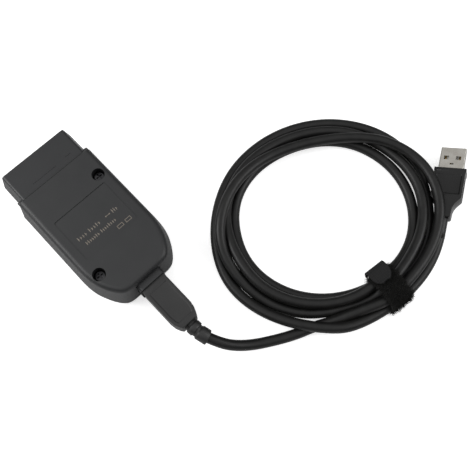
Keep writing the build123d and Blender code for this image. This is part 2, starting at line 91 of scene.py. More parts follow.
# %% [markdown]
# ## Floor and light
# Dark plastic is shown by what it reflects. A pale ceiling gives the flat faces an even grey, a dark
# horizon draws the rounded rims, and a soft box on each side runs a soft highlight along the cord. The
# table and the backdrop are brighter to the camera than to the object: the ground is clean white, yet
# the sides of the case don't mirror a white room.

# %% Build the table, the sky and the soft boxes
bpy.context.scene.view_settings.view_transform = "Standard"


def select_only(obj):
    """Deselect everything, then select and activate one object."""
    bpy.ops.object.select_all(action="DESELECT")
    obj.select_set(True)
    bpy.context.view_layer.objects.active = obj


def node_tree(material):
    """A material's tree, its Principled shader and its Object coordinates."""
    material.use_nodes = True
    tree = material.node_tree
    coordinates = tree.nodes.new("ShaderNodeTexCoord")
    return tree, tree.nodes["Principled BSDF"], coordinates.outputs["Object"]


bpy.ops.object.select_all(action="DESELECT")
bpy.ops.mesh.primitive_plane_add(size=6.0, location=(AIM.x, AIM.y, -0.00005))
table = bpy.context.object
table.name = "table"
bpy.ops.object.transform_apply(location=True, rotation=True, scale=True)
paper = bpy.data.materials.new("white_table")
tree, shader, place = node_tree(paper)
shader.inputs["Base Color"].default_value = (0.75, 0.75, 0.75, 1)
shader.inputs["Roughness"].default_value = 0.9
shader.inputs["Specular IOR Level"].default_value = 0.1
shader.inputs["Emission Color"].default_value = (1, 1, 1, 1)
rays = tree.nodes.new("ShaderNodeLightPath")
glow = tree.nodes.new("ShaderNodeMath")
glow.operation = "MULTIPLY"
glow.inputs[1].default_value = 0.6
tree.links.new(rays.outputs["Is Camera Ray"], glow.inputs[0])
tree.links.new(glow.outputs[0], shader.inputs["Emission Strength"])
table.data.materials.append(paper)

sky = bpy.context.scene.world or bpy.data.worlds.new("sky")
bpy.context.scene.world = sky
sky.use_nodes = True
tree = sky.node_tree
tree.nodes.clear()
direction = tree.nodes.new("ShaderNodeTexCoord")
split_axes = tree.nodes.new("ShaderNodeSeparateXYZ")
fade = tree.nodes.new("ShaderNodeValToRGB")
fade.color_ramp.elements[0].color = (0.05, 0.05, 0.051, 1)
fade.color_ramp.elements[1].position = 0.8
fade.color_ramp.elements.new(0.45).color = (0.10, 0.10, 0.101, 1)
background = tree.nodes.new("ShaderNodeBackground")
background.inputs["Strength"].default_value = 0.95
backdrop = tree.nodes.new("ShaderNodeBackground")
seen = tree.nodes.new("ShaderNodeLightPath")
chooser = tree.nodes.new("ShaderNodeMixShader")
world_out = tree.nodes.new("ShaderNodeOutputWorld")
backdrop.inputs["Color"].default_value = (1, 1, 1, 1)
tree.links.new(direction.outputs["Generated"], split_axes.inputs[0])
tree.links.new(split_axes.outputs["Z"], fade.inputs["Fac"])
tree.links.new(fade.outputs["Color"], background.inputs["Color"])
tree.links.new(seen.outputs["Is Camera Ray"], chooser.inputs["Fac"])
tree.links.new(background.outputs[0], chooser.inputs[1])
tree.links.new(backdrop.outputs[0], chooser.inputs[2])
tree.links.new(chooser.outputs[0], world_out.inputs["Surface"])


def soft_box(name, azimuth, elevation, reach, size, power):
    """A square area light aimed at the object."""
    turn, lift = math.radians(azimuth), math.radians(elevation)
    back = Vector((
        math.sin(turn) * math.cos(lift), -math.cos(turn) * math.cos(lift), math.sin(lift),
    ))
    bpy.ops.object.light_add(type="AREA", location=AIM + back * reach)
    light = bpy.context.object
    light.name = name
    light.rotation_euler = (-back).to_track_quat("-Z", "Y").to_euler()
    light.data.size = size
    light.data.energy = power
    return light


soft_box("key_box", 318.0, 34.0, 0.9, 0.5, 5.0)
soft_box("fill_box", 136.0, 34.0, 1.0, 0.5, 4.0)
print("table, sky and two soft boxes")

# %% [markdown]
# ## The cord's way
# The cord is one fixed length of vinyl: out of the plug's relief, down to the table, under the coil,
# a little over four turns, and out to the computer plug. Each turn was laid by hand, so no two have
# the same radius. The route's first stretch is a list of points. The turns are set by a few lanes
# (angle round the coil, reach from its centre, height of the cord's middle), because a hand-laid coil
# has no formula, and a loop then lets them settle: cords can't pass through each other or the table.

# %% The cord's facts and the lead
CORD = 5.1 * MM                      # its diameter
LEAD = [                             # millimetres, from the relief to the coil
    (77.0, 1.5, 10.3),
    (83.1, 4.2, 8.7),
    (88.7, 9.1, 5.8),
    (93.3, 15.2, 3.4),
    (97.2, 21.7, 2.55),
    (100.8, 28.0, 2.55),
    (103.7, 34.0, 2.55),
    (105.9, 40.0, 2.55),
]
COIL_CENTRE = Vector((73.0, 84.0, 0.0))
PLUG_TAIL = Vector((113.0, 123.1, 6.4))
PLUG_HEADING, PLUG_ROLL = math.radians(122.0), math.radians(20.0)
plug_way = Vector((math.cos(PLUG_HEADING), math.sin(PLUG_HEADING), 0.0))
TIE_HEADING = 354.0                  # degrees round the coil

# %% The lanes of the turns
LANES = [                            # degrees, millimetres, millimetres
    # from under the outer turn, up between the turns and into the tie
    (315, 51.2, 4.0), (324, 48.6, 6.0), (335, 46.9, 6.6), (347, 46.4, 7.6), (360, 47.3, 8.2),
    # first turn, on top: over the computer plug, inwards at the far side, out again on the left
    (372, 48.4, 7.6), (390, 51.6, 7.8), (405, 54.2, 9.4), (416, 55.8, 10.8), (430, 55.6, 10.8),
    (443, 54.0, 9.2), (450, 51.4, 8.2), (460, 47.8, 8.0), (470, 45.0, 7.6), (480, 41.3, 7.4),
    (492, 39.0, 7.2), (510, 37.8, 7.2), (525, 38.4, 7.2), (540, 40.6, 7.4), (555, 44.6, 9.0),
    (570, 46.9, 11.0), (583, 49.9, 11.2), (597, 51.8, 8.6), (612, 53.3, 5.2), (625, 53.4, 3.4),
    (640, 51.9, 2.6), (657, 49.9, 2.6), (675, 47.7, 2.6), (700, 45.4, 2.6), (707, 45.0, 4.2),
    # second turn, from the low middle of the tie to its inner top
    (722, 42.3, 8.4), (735, 42.3, 7.2), (750, 44.4, 7.0), (780, 48.2, 7.0), (795, 48.7, 6.6),
    (810, 47.4, 5.2), (840, 46.0, 4.9), (870, 44.5, 5.0), (900, 45.4, 5.4), (925, 48.0, 6.7),
    (945, 49.3, 6.7), (966, 50.1, 6.7), (990, 48.7, 6.6), (1010, 46.4, 6.6), (1030, 43.8, 6.7),
    (1060, 41.6, 7.2),
    # third turn, the innermost, on the table
    (1074, 40.6, 5.0), (1088, 40.5, 2.8), (1110, 42.6, 2.6), (1140, 43.3, 2.6), (1170, 43.6, 2.6),
    (1200, 43.2, 2.6), (1215, 41.4, 2.6), (1232, 40.0, 2.6), (1245, 40.0, 2.6), (1260, 41.6, 2.6),
    (1275, 43.4, 2.6), (1295, 45.7, 2.6), (1320, 45.4, 2.6), (1345, 44.6, 2.6), (1365, 42.6, 2.6),
    (1390, 40.4, 2.6), (1415, 39.5, 2.8), (1427, 40.0, 4.2),
    # fourth turn, the outermost, on the table except where it crosses the lead
    (1442, 45.6, 4.2), (1455, 47.6, 2.6), (1480, 50.1, 2.6), (1502, 51.4, 2.6), (1515, 53.6, 2.6),
    (1530, 55.5, 2.6), (1545, 53.7, 2.6), (1560, 52.0, 2.6), (1575, 50.8, 2.6), (1597, 49.5, 2.6),
    (1620, 49.8, 2.6), (1650, 51.2, 2.6), (1675, 54.4, 2.6), (1690, 56.4, 2.6), (1710, 56.8, 2.6),
    (1725, 55.8, 3.6), (1740, 54.8, 7.0), (1752, 53.8, 7.6), (1765, 52.6, 5.2), (1778, 51.6, 3.6),
    (1788, 51.3, 4.2),
    # out of the tie to the computer plug
    (1800, 51.2, 4.2), (1812, 53.0, 2.6), (1830, 54.6, 3.4), (1838, 55.2, 4.6),
]
TURN_STEP = 7.5                      # degrees from one point of a turn to the next
PER_TURN = int(360 / TURN_STEP)
ROUNDS, LAST_ROUNDS = 600, 60        # rounds of settling; in the last ones the lanes don't pull
LANE_PULL = 0.03                     # share of the way back to its lane in one round
STIFFNESS, LAST_STIFFNESS = 0.12, 0.02
CLEARANCE = 1.02                     # how near two middles may come, in cord diameters
PUSH = 0.3                           # share of an overlap that each of two cords gives in a round
TIE_REACH, TIE_UNDER = 10, 1.3       # degrees each side of the tie, millimetres of band below


def smooth_lanes(angles):
    """Reach and height at each angle, on a smooth line through the lanes."""
    table = np.array(LANES, float)
    at, value = table[:, 0], table[:, 1:]
    gap = np.diff(at)[:, None]
    slope = np.diff(value, axis=0) / gap
    middle = (slope[:-1] * gap[1:] + slope[1:] * gap[:-1]) / (gap[1:] + gap[:-1])
    slopes = np.vstack([slope[:1], middle, slope[-1:]])
    k = np.clip(np.searchsorted(at, angles, side="right") - 1, 0, len(gap) - 1)
    t = ((angles - at[k]) / gap[k, 0])[:, None]
    bend = gap[k] * (t * (1 - t) ** 2 * slopes[k] - t * t * (1 - t) * slopes[k + 1])
    return (1 + 2 * t) * (1 - t) ** 2 * value[k] + t * t * (3 - 2 * t) * value[k + 1] + bend


def settle(angles, lanes):
    """Let the turns settle: pulled to their lanes, stiff along their length, and pushed apart."""
    points = lanes.copy()
    pairs = np.array([
        (i, j) for i in range(len(points)) for j in range(i + PER_TURN, len(points), PER_TURN)
    ])
    in_tie = np.abs((angles + 180 - TIE_HEADING) % 360 - 180) <= TIE_REACH
    lowest = np.where(in_tie, CORD / MM / 2 + TIE_UNDER, CORD / MM / 2)
    for count in range(ROUNDS):
        settling = count < ROUNDS - LAST_ROUNDS
        if settling:
            points += LANE_PULL * (lanes - points)
        stiffness = STIFFNESS if settling else LAST_STIFFNESS
        points[1:-1] += stiffness * ((points[:-2] + points[2:]) / 2 - points[1:-1])
        between = points[pairs[:, 1]] - points[pairs[:, 0]]
        apart = np.linalg.norm(between, axis=1)
        short = np.clip(CORD / MM * CLEARANCE - apart, 0, None)
        push = between / np.maximum(apart, 1e-6)[:, None] * (PUSH * short)[:, None]
        np.add.at(points, pairs[:, 1], push)
        np.add.at(points, pairs[:, 0], -push)
        points[:, 1] = np.maximum(points[:, 1], lowest)
    return points


angles = np.arange(LANES[0][0], LANES[-1][0] + 0.01, TURN_STEP)
settled = settle(angles, smooth_lanes(angles))
print("coil:", len(angles), "points, highest middle", round(float(settled[:, 1].max()), 1), "mm")

# %% [markdown]
# ## The cord as one smooth curve
# A NURBS curve of order 3 passes near its control points and never kinks, which is how a springy
# vinyl cord lies. The lead, the turns and the last stretch into the plug are points of one open
# spline. The curve cuts slightly inside its points on a bend, so the turns' reaches are set a touch
# wider. The order is set after the points are added, because Blender limits it to their number.

# %% Make the cord
widen = 1 / math.cos(math.radians(TURN_STEP / 2))
route = [Vector(point) for point in LEAD]
for angle, (reach, height) in zip(np.radians(angles), settled):
    route.append(COIL_CENTRE + Vector((
        reach * widen * math.cos(angle), reach * widen * math.sin(angle), height,
    )))
for back, height in ((9.0, 5.6), (3.0, 6.4), (-3.0, 6.4)):
    before_tail = PLUG_TAIL - plug_way * back
    route.append(Vector((before_tail.x, before_tail.y, height)))

cord_line = bpy.data.curves.new("cord", "CURVE")
cord_line.dimensions = "3D"
spline = cord_line.splines.new("NURBS")
spline.points.add(len(route) - 1)
for control, point in zip(spline.points, route):
    control.co = (*(point * MM), 1.0)
    control.radius = CORD / 2
spline.order_u = 3
spline.use_endpoint_u = True
spline.resolution_u = 4
cord_line.bevel_depth = 1.0              # times each point's own radius
cord_line.bevel_resolution = 7
cord_line.use_fill_caps = True
cord = bpy.data.objects.new("cord", cord_line)
bpy.context.scene.collection.objects.link(cord)
print("cord length", round(spline.calc_length(), 3), "m")
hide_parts("cable_lead", "cable_coil")
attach(cord, "cable")

# %% [markdown]
# ## Finishes
# A moulded surface is never one flat colour. Each finish below mixes a slow mottle, as pigment and
# handling leave it, with a fine grain that the mould or the brush left, and lets both reach the
# colour, the roughness and the bump. Patterns read Object coordinates in metres, so a scale of 4000
# is a grain of a quarter of a millimetre.

# %% Pattern helpers


def mapped(tree, place, scale, turn=0.0):
    """Coordinates stretched by a scale for each axis and turned round Z."""
    node = tree.nodes.new("ShaderNodeMapping")
    node.inputs["Scale"].default_value = scale
    node.inputs["Rotation"].default_value = (0, 0, turn)
    tree.links.new(place, node.inputs["Vector"])
    return node.outputs["Vector"]


def noise(tree, place, scale, detail=2.0):
    """A noise pattern's value, from 0 to 1."""
    node = tree.nodes.new("ShaderNodeTexNoise")
    node.inputs["Scale"].default_value = scale
    node.inputs["Detail"].default_value = detail
    tree.links.new(place, node.inputs["Vector"])
    return node.outputs["Fac"]


def ranged(tree, value, low, high, start=0.3, stop=0.7):
    """A pattern's middle values spread over low to high."""
    node = tree.nodes.new("ShaderNodeMapRange")
    for name, number in (("From Min", start), ("From Max", stop), ("To Min", low), ("To Max", high)):
        node.inputs[name].default_value = number
    tree.links.new(value, node.inputs["Value"])
    return node.outputs["Result"]


def blended(tree, value, dark, light):
    """Two colours mixed by a pattern."""
    node = tree.nodes.new("ShaderNodeMix")
    node.data_type = "RGBA"
    node.inputs["A"].default_value = (*dark, 1)
    node.inputs["B"].default_value = (*light, 1)
    tree.links.new(value, node.inputs["Factor"])
    return node.outputs["Result"]


def bumped(tree, shader, value, depth, strength=1.0):
    """Raise the surface by a pattern, by up to depth metres."""
    node = tree.nodes.new("ShaderNodeBump")
    node.inputs["Strength"].default_value = strength
    node.inputs["Distance"].default_value = depth
    tree.links.new(value, node.inputs["Height"])
    tree.links.new(node.outputs["Normal"], shader.inputs["Normal"])


# %% [markdown]
# ### Plastics
# The case and the vehicle connector are spark-eroded moulds: a fine matt grain. The cable's grips
# are smoother vinyl, and the computer plug's grip is glossy, so that its edges catch the light.

# %% One function for every moulded plastic


def plastic(name, dark, light, roughness, grain, depth, specular=0.5):
    """A moulded plastic: two close colours, a roughness range and a fine grain."""
    material = bpy.data.materials.new(name)
    tree, shader, place = node_tree(material)
    mottle = noise(tree, place, 90.0, 4.0)
    fine = noise(tree, place, grain, 3.0)
    colour = blended(tree, ranged(tree, mottle, 0, 1), dark, light)
    tree.links.new(colour, shader.inputs["Base Color"])
    tree.links.new(ranged(tree, fine, *roughness), shader.inputs["Roughness"])
    bumped(tree, shader, fine, depth)
    shader.inputs["Specular IOR Level"].default_value = specular
    return material


case_plastic = plastic(
    "case_plastic", (0.0095, 0.0100, 0.0108), (0.0125, 0.0130, 0.0138), (0.42, 0.56), 3600, 1.6e-5)
connector_plastic = plastic(
    "connector_plastic", (0.0090, 0.0095, 0.0108), (0.0115, 0.0120, 0.0132), (0.40, 0.54), 4200,
    1.2e-5)
grip_plastic = plastic(
    "grip_plastic", (0.0085, 0.0085, 0.0085), (0.0115, 0.0115, 0.0115), (0.46, 0.58), 2600, 1e-5)
gloss_grip = plastic(
    "gloss_grip", (0.004, 0.004, 0.004), (0.007, 0.007, 0.007), (0.18, 0.3), 1500, 4e-6,
    specular=0.32)
chip_plastic = plastic(
    "chip_plastic", (0.010, 0.010, 0.011), (0.018, 0.018, 0.02), (0.5, 0.7), 5000, 1e-5)
insulator_plastic = plastic(
    "insulator_plastic", (0.62, 0.62, 0.59), (0.72, 0.72, 0.69), (0.4, 0.5), 2500, 4e-6)
print("six plastics")

# %% [markdown]
# ### Metals
# The plug shells are folded from nickel-plated steel with the faint lines of the rolling mill along
# the plug. The blades are tin plated, and the case screws are blackened, a little lighter in random
# patches.

# %% One function for every metal


def metal(name, dark, light, roughness, brush, turn=0.0, depth=2e-6):
    """A metal with brush lines: brush is the noise scale along each axis."""
    material = bpy.data.materials.new(name)
    tree, shader, place = node_tree(material)
    lines = noise(tree, mapped(tree, place, brush, turn), 1.0, 3.0)
    blotch = noise(tree, place, 240.0, 3.0)
    colour = blended(tree, ranged(tree, blotch, 0, 1), dark, light)
    tree.links.new(colour, shader.inputs["Base Color"])
    tree.links.new(ranged(tree, lines, *roughness), shader.inputs["Roughness"])
    bumped(tree, shader, lines, depth)
    shader.inputs["Metallic"].default_value = 1.0
    return material


plug_steel = metal(
    "plug_steel", (0.40, 0.380, 0.345), (0.48, 0.465, 0.43), (0.24, 0.38), (400, 5200, 5200),
    -PLUG_HEADING)
pin_metal = metal(
    "pin_metal", (0.55, 0.50, 0.38), (0.72, 0.67, 0.55), (0.22, 0.4), (300, 6000, 6000))
contact_metal = metal(
    "contact_metal", (0.74, 0.52, 0.2), (0.86, 0.66, 0.3), (0.18, 0.3), (900, 900, 900))
can_metal = metal(
    "can_metal", (0.62, 0.62, 0.63), (0.74, 0.74, 0.75), (0.24, 0.38), (2600, 2600, 200))
screw_steel = metal(
    "screw_steel", (0.012, 0.012, 0.013), (0.06, 0.06, 0.063), (0.2, 0.34), (700, 700, 700))
print("five metals")

# %% [markdown]
# ### The circuit board
# It is sealed in the case, but every piece gets its finish: a green solder mask with copper tracks
# showing through as lighter, slightly raised lines.

# %% Solder mask over tracks
board_laminate = bpy.data.materials.new("board_laminate")
tree, shader, place = node_tree(board_laminate)
cells = tree.nodes.new("ShaderNodeTexVoronoi")
cells.feature = "DISTANCE_TO_EDGE"
cells.inputs["Scale"].default_value = 380.0
tree.links.new(place, cells.inputs["Vector"])
tracks = ranged(tree, cells.outputs["Distance"], 1, 0, 0.05, 0.12)
tree.links.new(
    blended(tree, tracks, (0.008, 0.075, 0.03), (0.02, 0.17, 0.07)), shader.inputs["Base Color"])
tree.links.new(ranged(tree, noise(tree, place, 900.0), 0.25, 0.4), shader.inputs["Roughness"])
bumped(tree, shader, tracks, 2e-5)

# %% [markdown]
# ### The cord's jacket
# Extruded vinyl is smooth with very faint lines along its length, and it picks up a little dust. The
# cord's own UV runs along and round it, so the lines follow every turn, which Object coordinates
# could never do.

# %% Cord vinyl
cord_jacket = bpy.data.materials.new("cord_jacket")
tree, shader, place = node_tree(cord_jacket)
around = next(node for node in tree.nodes if node.type == "TEX_COORD").outputs["UV"]
lines = noise(tree, mapped(tree, around, (60.0, 34.0, 1.0)), 1.0, 2.0)
dust = noise(tree, place, 260.0, 5.0)
dusty = ranged(tree, dust, 0, 1, 0.35, 0.75)
tree.links.new(
    blended(tree, dusty, (0.0045, 0.0045, 0.0045), (0.0085, 0.0084, 0.0080)),
    shader.inputs["Base Color"])
tree.links.new(ranged(tree, lines, 0.38, 0.5), shader.inputs["Roughness"])
bumped(tree, shader, lines, 1.5e-5)
shader.inputs["Specular IOR Level"].default_value = 0.3
cord_line.materials.append(cord_jacket)

# %% [markdown]
# ### The tie's two faces
# One face of a hook and loop tie is a soft pile that drinks the light, the other a flat woven tape.
# The pile gets sheen, because loose fibre ends glow at grazing angles, and the tape gets the
# over-and-under weave of its yarns.

# %% Pile and woven tape
tie_fabric = bpy.data.materials.new("tie_fabric")
tree, shader, place = node_tree(tie_fabric)
tufts = noise(tree, place, 1900.0, 4.0)
tree.links.new(
    blended(tree, ranged(tree, tufts, 0, 1), (0.0025, 0.0025, 0.0022), (0.008, 0.008, 0.007)),
    shader.inputs["Base Color"])
bumped(tree, shader, tufts, 2.5e-4)
shader.inputs["Roughness"].default_value = 0.95
shader.inputs["Specular IOR Level"].default_value = 0.15
shader.inputs["Sheen Weight"].default_value = 0.07
shader.inputs["Sheen Roughness"].default_value = 0.5

tie_woven = bpy.data.materials.new("tie_woven")
tree, shader, place = node_tree(tie_woven)
TIE_TURN = math.radians(TIE_HEADING)
turned = mapped(tree, place, (1.0, 1.0, 1.0), -TIE_TURN)
weave = []
for direction_name in ("X", "Y"):
    yarns = tree.nodes.new("ShaderNodeTexWave")
    yarns.bands_direction = direction_name
    yarns.inputs["Scale"].default_value = 320.0
    yarns.inputs["Distortion"].default_value = 0.6
    yarns.inputs["Detail Scale"].default_value = 2.0
    tree.links.new(turned, yarns.inputs["Vector"])
    weave.append(yarns.outputs["Fac"])
crossing = tree.nodes.new("ShaderNodeMath")
crossing.operation = "MULTIPLY"
tree.links.new(weave[0], crossing.inputs[0])
tree.links.new(weave[1], crossing.inputs[1])
tree.links.new(
    blended(tree, ranged(tree, crossing.outputs[0], 0, 1, 0.0, 0.7), (0.0025, 0.0025, 0.0027),
            (0.0095, 0.0095, 0.010)), shader.inputs["Base Color"])
bumped(tree, shader, crossing.outputs[0], 1.2e-4)
shader.inputs["Roughness"].default_value = 0.75
shader.inputs["Specular IOR Level"].default_value = 0.3
shader.inputs["Sheen Weight"].default_value = 0.03

# %% Dress the CAD nodes
FINISHES = {
    "case_plastic": case_plastic, "connector_plastic": connector_plastic, "screw_steel": screw_steel,
    "pin_metal": pin_metal, "board_laminate": board_laminate, "chip_plastic": chip_plastic,
    "can_metal": can_metal, "plug_steel": plug_steel, "insulator_plastic": insulator_plastic,
    "contact_metal": contact_metal, "grip_plastic": grip_plastic, "gloss_grip": gloss_grip,
    "cord_jacket": cord_jacket, "tie_fabric": tie_fabric, "tie_woven": tie_woven,
}
slot_of = {part["node"]: part["material_slot"] for part in frame["record"]["subparts"]}
for name, node in nodes.items():
    node.data.materials.clear()
    node.data.materials.append(FINISHES[slot_of[name]])
print("dressed", len(nodes), "CAD nodes")

# %% [markdown]
# ## Modelling helpers
# The moulded grips are drawn out of one face, as by hand: a square is scaled to the first section,
# then extruded and scaled again for each section after it. Long edges are softened afterwards with a
# Bevel modifier, whose width is the mould's own edge radius.

# %% Edit-mode helpers


def start_edit(obj):
    """Open one object in edit mode, picking vertices."""
    select_only(obj)
    bpy.ops.object.mode_set(mode="EDIT")
    bpy.ops.mesh.select_mode(type="VERT")


def end_edit():
    """Go back to object mode."""
    bpy.ops.object.mode_set(mode="OBJECT")


def apply_modifier(obj, kind, **settings):
    """Add one modifier, set it and apply it."""
    select_only(obj)
    modifier = obj.modifiers.new(kind.lower(), kind)
    for name, value in settings.items():
        setattr(modifier, name, value)
    bpy.ops.object.modifier_apply(modifier=modifier.name)


def draw_out(name, sections):
    """A body drawn along +Z through sections of (distance, width, height), in millimetres."""
    bpy.ops.object.select_all(action="DESELECT")
    bpy.ops.mesh.primitive_plane_add(size=MM)
    body = bpy.context.object
    body.name = body.data.name = name
    start_edit(body)
    bpy.ops.mesh.select_all(action="SELECT")
    distance, width, height = sections[0]
    bpy.ops.transform.resize(value=(width, height, 1))
    for reach, wide, high in sections[1:]:
        bpy.ops.mesh.extrude_region_move(
            TRANSFORM_OT_translate={"value": (0, 0, (reach - distance) * MM)})
        bpy.ops.transform.resize(value=(wide / width, high / height, 1))
        distance, width, height = reach, wide, high
    bpy.ops.mesh.select_all(action="SELECT")
    bpy.ops.mesh.normals_make_consistent(inside=False)
    end_edit()
    return body


def pick_faces(obj, test):
    """Select the faces whose centre and normal pass a test, and count them."""
    end_edit()
    for edge in obj.data.edges:
        edge.select = False
    for vertex in obj.data.vertices:
        vertex.select = False
    found = 0
    for face in obj.data.polygons:
        face.select = bool(test(face.center / MM, face.normal))
        found += face.select
    bpy.ops.object.mode_set(mode="EDIT")
    bpy.ops.mesh.select_mode(type="FACE")
    return found


def soften(obj, width, segments=3, angle=30.0):
    """Round a moulding's edges."""
    apply_modifier(
        obj, "BEVEL", width=width * MM, segments=segments, limit_method="ANGLE",
        angle_limit=math.radians(angle))
    select_only(obj)
    bpy.ops.object.shade_smooth_by_angle(angle=math.radians(40))


def stand_for(obj, slot_name, body, *replaced):
    """Give a new piece its finish, its body and the CAD nodes it stands for."""
    obj.data.materials.clear()
    obj.data.materials.append(FINISHES[slot_name])
    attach(obj, body)
    if replaced:
        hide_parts(*replaced)


# %% [markdown]
# ## The device plug's grip
# A flat vinyl handle behind the bezel, with a shallow panel moulded in its top for the thumb. It
# keeps its width for most of its length, then its sides run in to the strain relief. The body is
# drawn out along +Z and then turned to lie along the reader's +X, at the socket's height.

# %% Draw out the grip, sink its panel and lay it in place
grip_low, grip_high = corners_mm("usb_b_grip")
GRIP_LONG = grip_high.x - grip_low.x
SOCKET_Z = (grip_low.z + grip_high.z) / 2
PANEL_RIM, PANEL_WALL, PANEL_DEEP = 1.4, 0.3, 0.3
grip = draw_out("usb_b_grip_moulded", [
    (0.0, 12.9, 11.0), (2.4, 12.9, 11.0), (18.6, 12.9, 11.0), (21.6, 12.0, 10.8),
    (24.0, 10.0, 10.2), (GRIP_LONG, 8.2, 9.4),
])
panel = pick_faces(grip, lambda centre, normal: normal.y > 0.9 and 2.5 < centre.z < 24)
bpy.ops.mesh.inset(thickness=PANEL_RIM * MM, depth=0)
bpy.ops.mesh.inset(thickness=PANEL_WALL * MM, depth=-PANEL_DEEP * MM)
end_edit()
soften(grip, 0.9, 4)
along_reader = Matrix(((0, 0, 1, 0), (1, 0, 0, 0), (0, 1, 0, 0), (0, 0, 0, 1)))
select_only(grip)
grip.matrix_world = Matrix.Translation(Vector((grip_low.x, 0, SOCKET_Z)) * MM) @ along_reader
bpy.ops.object.transform_apply(location=True, rotation=True, scale=True)
stand_for(grip, "grip_plastic", "cable", "usb_b_grip")
print("grip", round(GRIP_LONG, 1), "mm long,", panel, "panel face")

# %% [markdown]
# ## The strain relief
# A short sleeve of two collars with waists between them lets the cord bend a little at a time. It is
# turned as a straight sleeve, ring by ring from a circle, and a Curve modifier then bends it along
# the way the cord leaves the grip, so that its end is square to the cord.

# %% Turn the sleeve and bend it
relief_path = bpy.data.curves.new("relief_path", "CURVE")
relief_path.dimensions = "3D"
relief_spline = relief_path.splines.new("BEZIER")
relief_spline.bezier_points.add(1)
stop_way = (Vector(LEAD[1]) - Vector(LEAD[0])).normalized()
relief_start = Vector((grip_high.x - 0.4, 0, SOCKET_Z))
relief_stop = Vector(LEAD[0]) + stop_way * 0.5
first, last = relief_spline.bezier_points
first.co, last.co = relief_start * MM, relief_stop * MM
handle = (relief_stop - relief_start).length / 3
first.handle_right = (relief_start + Vector((handle, 0, 0))) * MM
first.handle_left = (relief_start - Vector((handle, 0, 0))) * MM
last.handle_left = (relief_stop - stop_way * handle) * MM
last.handle_right = (relief_stop + stop_way * handle) * MM
relief_spline.resolution_u = 24
relief_line = bpy.data.objects.new("relief_path", relief_path)
bpy.context.scene.collection.objects.link(relief_line)
RELIEF_LONG = relief_spline.calc_length() / MM

RINGS = [                            # share of the length, radius
    (0.0, 3.3), (0.13, 3.2), (0.15, 3.55), (0.18, 3.68), (0.37, 3.68), (0.39, 3.55), (0.41, 3.1),
    (0.52, 3.05), (0.54, 3.5), (0.57, 3.62), (0.96, 3.62), (0.99, 3.5), (1.0, 3.35), (1.0, 2.5),
]
bpy.ops.object.select_all(action="DESELECT")
bpy.ops.mesh.primitive_circle_add(vertices=40, radius=RINGS[0][1] * MM, fill_type="NOTHING",
                                  rotation=(0, math.radians(90), 0))
relief = bpy.context.object
relief.name = relief.data.name = "strain_relief_moulded"
bpy.ops.object.transform_apply(location=True, rotation=True, scale=True)
start_edit(relief)
bpy.ops.mesh.select_all(action="SELECT")
reach, radius = RINGS[0]
for share, ring_radius in RINGS[1:]:
    bpy.ops.mesh.extrude_region_move(
        TRANSFORM_OT_translate={"value": ((share - reach) * RELIEF_LONG * MM, 0, 0)})
    bpy.ops.transform.resize(value=(1, ring_radius / radius, ring_radius / radius))
    reach, radius = share, ring_radius
bpy.ops.mesh.select_mode(type="EDGE")
bpy.ops.mesh.select_all(action="DESELECT")
bpy.ops.mesh.select_non_manifold()
bpy.ops.mesh.fill_holes(sides=0)
bpy.ops.mesh.select_all(action="SELECT")
bpy.ops.mesh.normals_make_consistent(inside=False)
end_edit()
apply_modifier(relief, "CURVE", object=relief_line, deform_axis="POS_X")
soften(relief, 0.16, 2, 35)
bpy.data.objects.remove(relief_line)
stand_for(relief, "grip_plastic", "cable", "strain_relief")
print("relief", round(RELIEF_LONG, 1), "mm along its curve")

# %% [markdown]
# ## The computer plug's grip
# This one is glossy. Its tail is a slim neck round the cord that flares in a hollow curve to the
# full width, and the front ends in a slightly larger lip that the steel shell comes out of. The plug
# lies a little rolled on the table, because its neck is held up by the coil, so the body is drawn
# out upright and then placed by the same three directions that the CAD plug has.

# %% Draw out the grip and roll it into place
plug = draw_out("usb_a_grip_moulded", [
    (0.0, 5.7, 5.6), (0.7, 7.0, 6.5), (2.2, 7.2, 6.6), (4.6, 7.4, 6.7), (6.4, 8.4, 6.8),
    (8.0, 10.2, 6.95), (9.4, 12.4, 7.1), (10.8, 14.6, 7.3), (24.0, 14.7, 7.3), (24.3, 15.2, 7.6),
    (26.0, 15.2, 7.6),
])
pick_faces(plug, lambda centre, normal: abs(normal.y) > 0.9 and 11 < centre.z < 24)
bpy.ops.mesh.inset(thickness=1.3 * MM, depth=0, use_individual=True)
bpy.ops.mesh.inset(thickness=0.35 * MM, depth=-0.3 * MM, use_individual=True)
end_edit()
soften(plug, 0.7, 3)
plug_left = Vector((-math.sin(PLUG_HEADING), math.cos(PLUG_HEADING), 0))
side = plug_left * math.cos(PLUG_ROLL) - Vector((0, 0, math.sin(PLUG_ROLL)))
plug_up = plug_way.cross(side)
turn = Matrix((side, plug_up, plug_way)).transposed().to_4x4()
select_only(plug)
plug.matrix_world = Matrix.Translation(PLUG_TAIL * MM) @ turn
bpy.ops.object.transform_apply(location=True, rotation=True, scale=True)
stand_for(plug, "gloss_grip", "cable", "usb_a_grip")
print("computer plug grip placed")

# %% [markdown]
# ## The tie
# A strip of hook and loop tape goes once round the bundle. Its pile faces out, and its woven end is
# folded back on itself as a tab. The band's outline hugs the cords rather than being a box, and the
# pile is real geometry: a few thousand short curled fibres that stand out of the band's surface, so
# that its edge is ragged against the table.

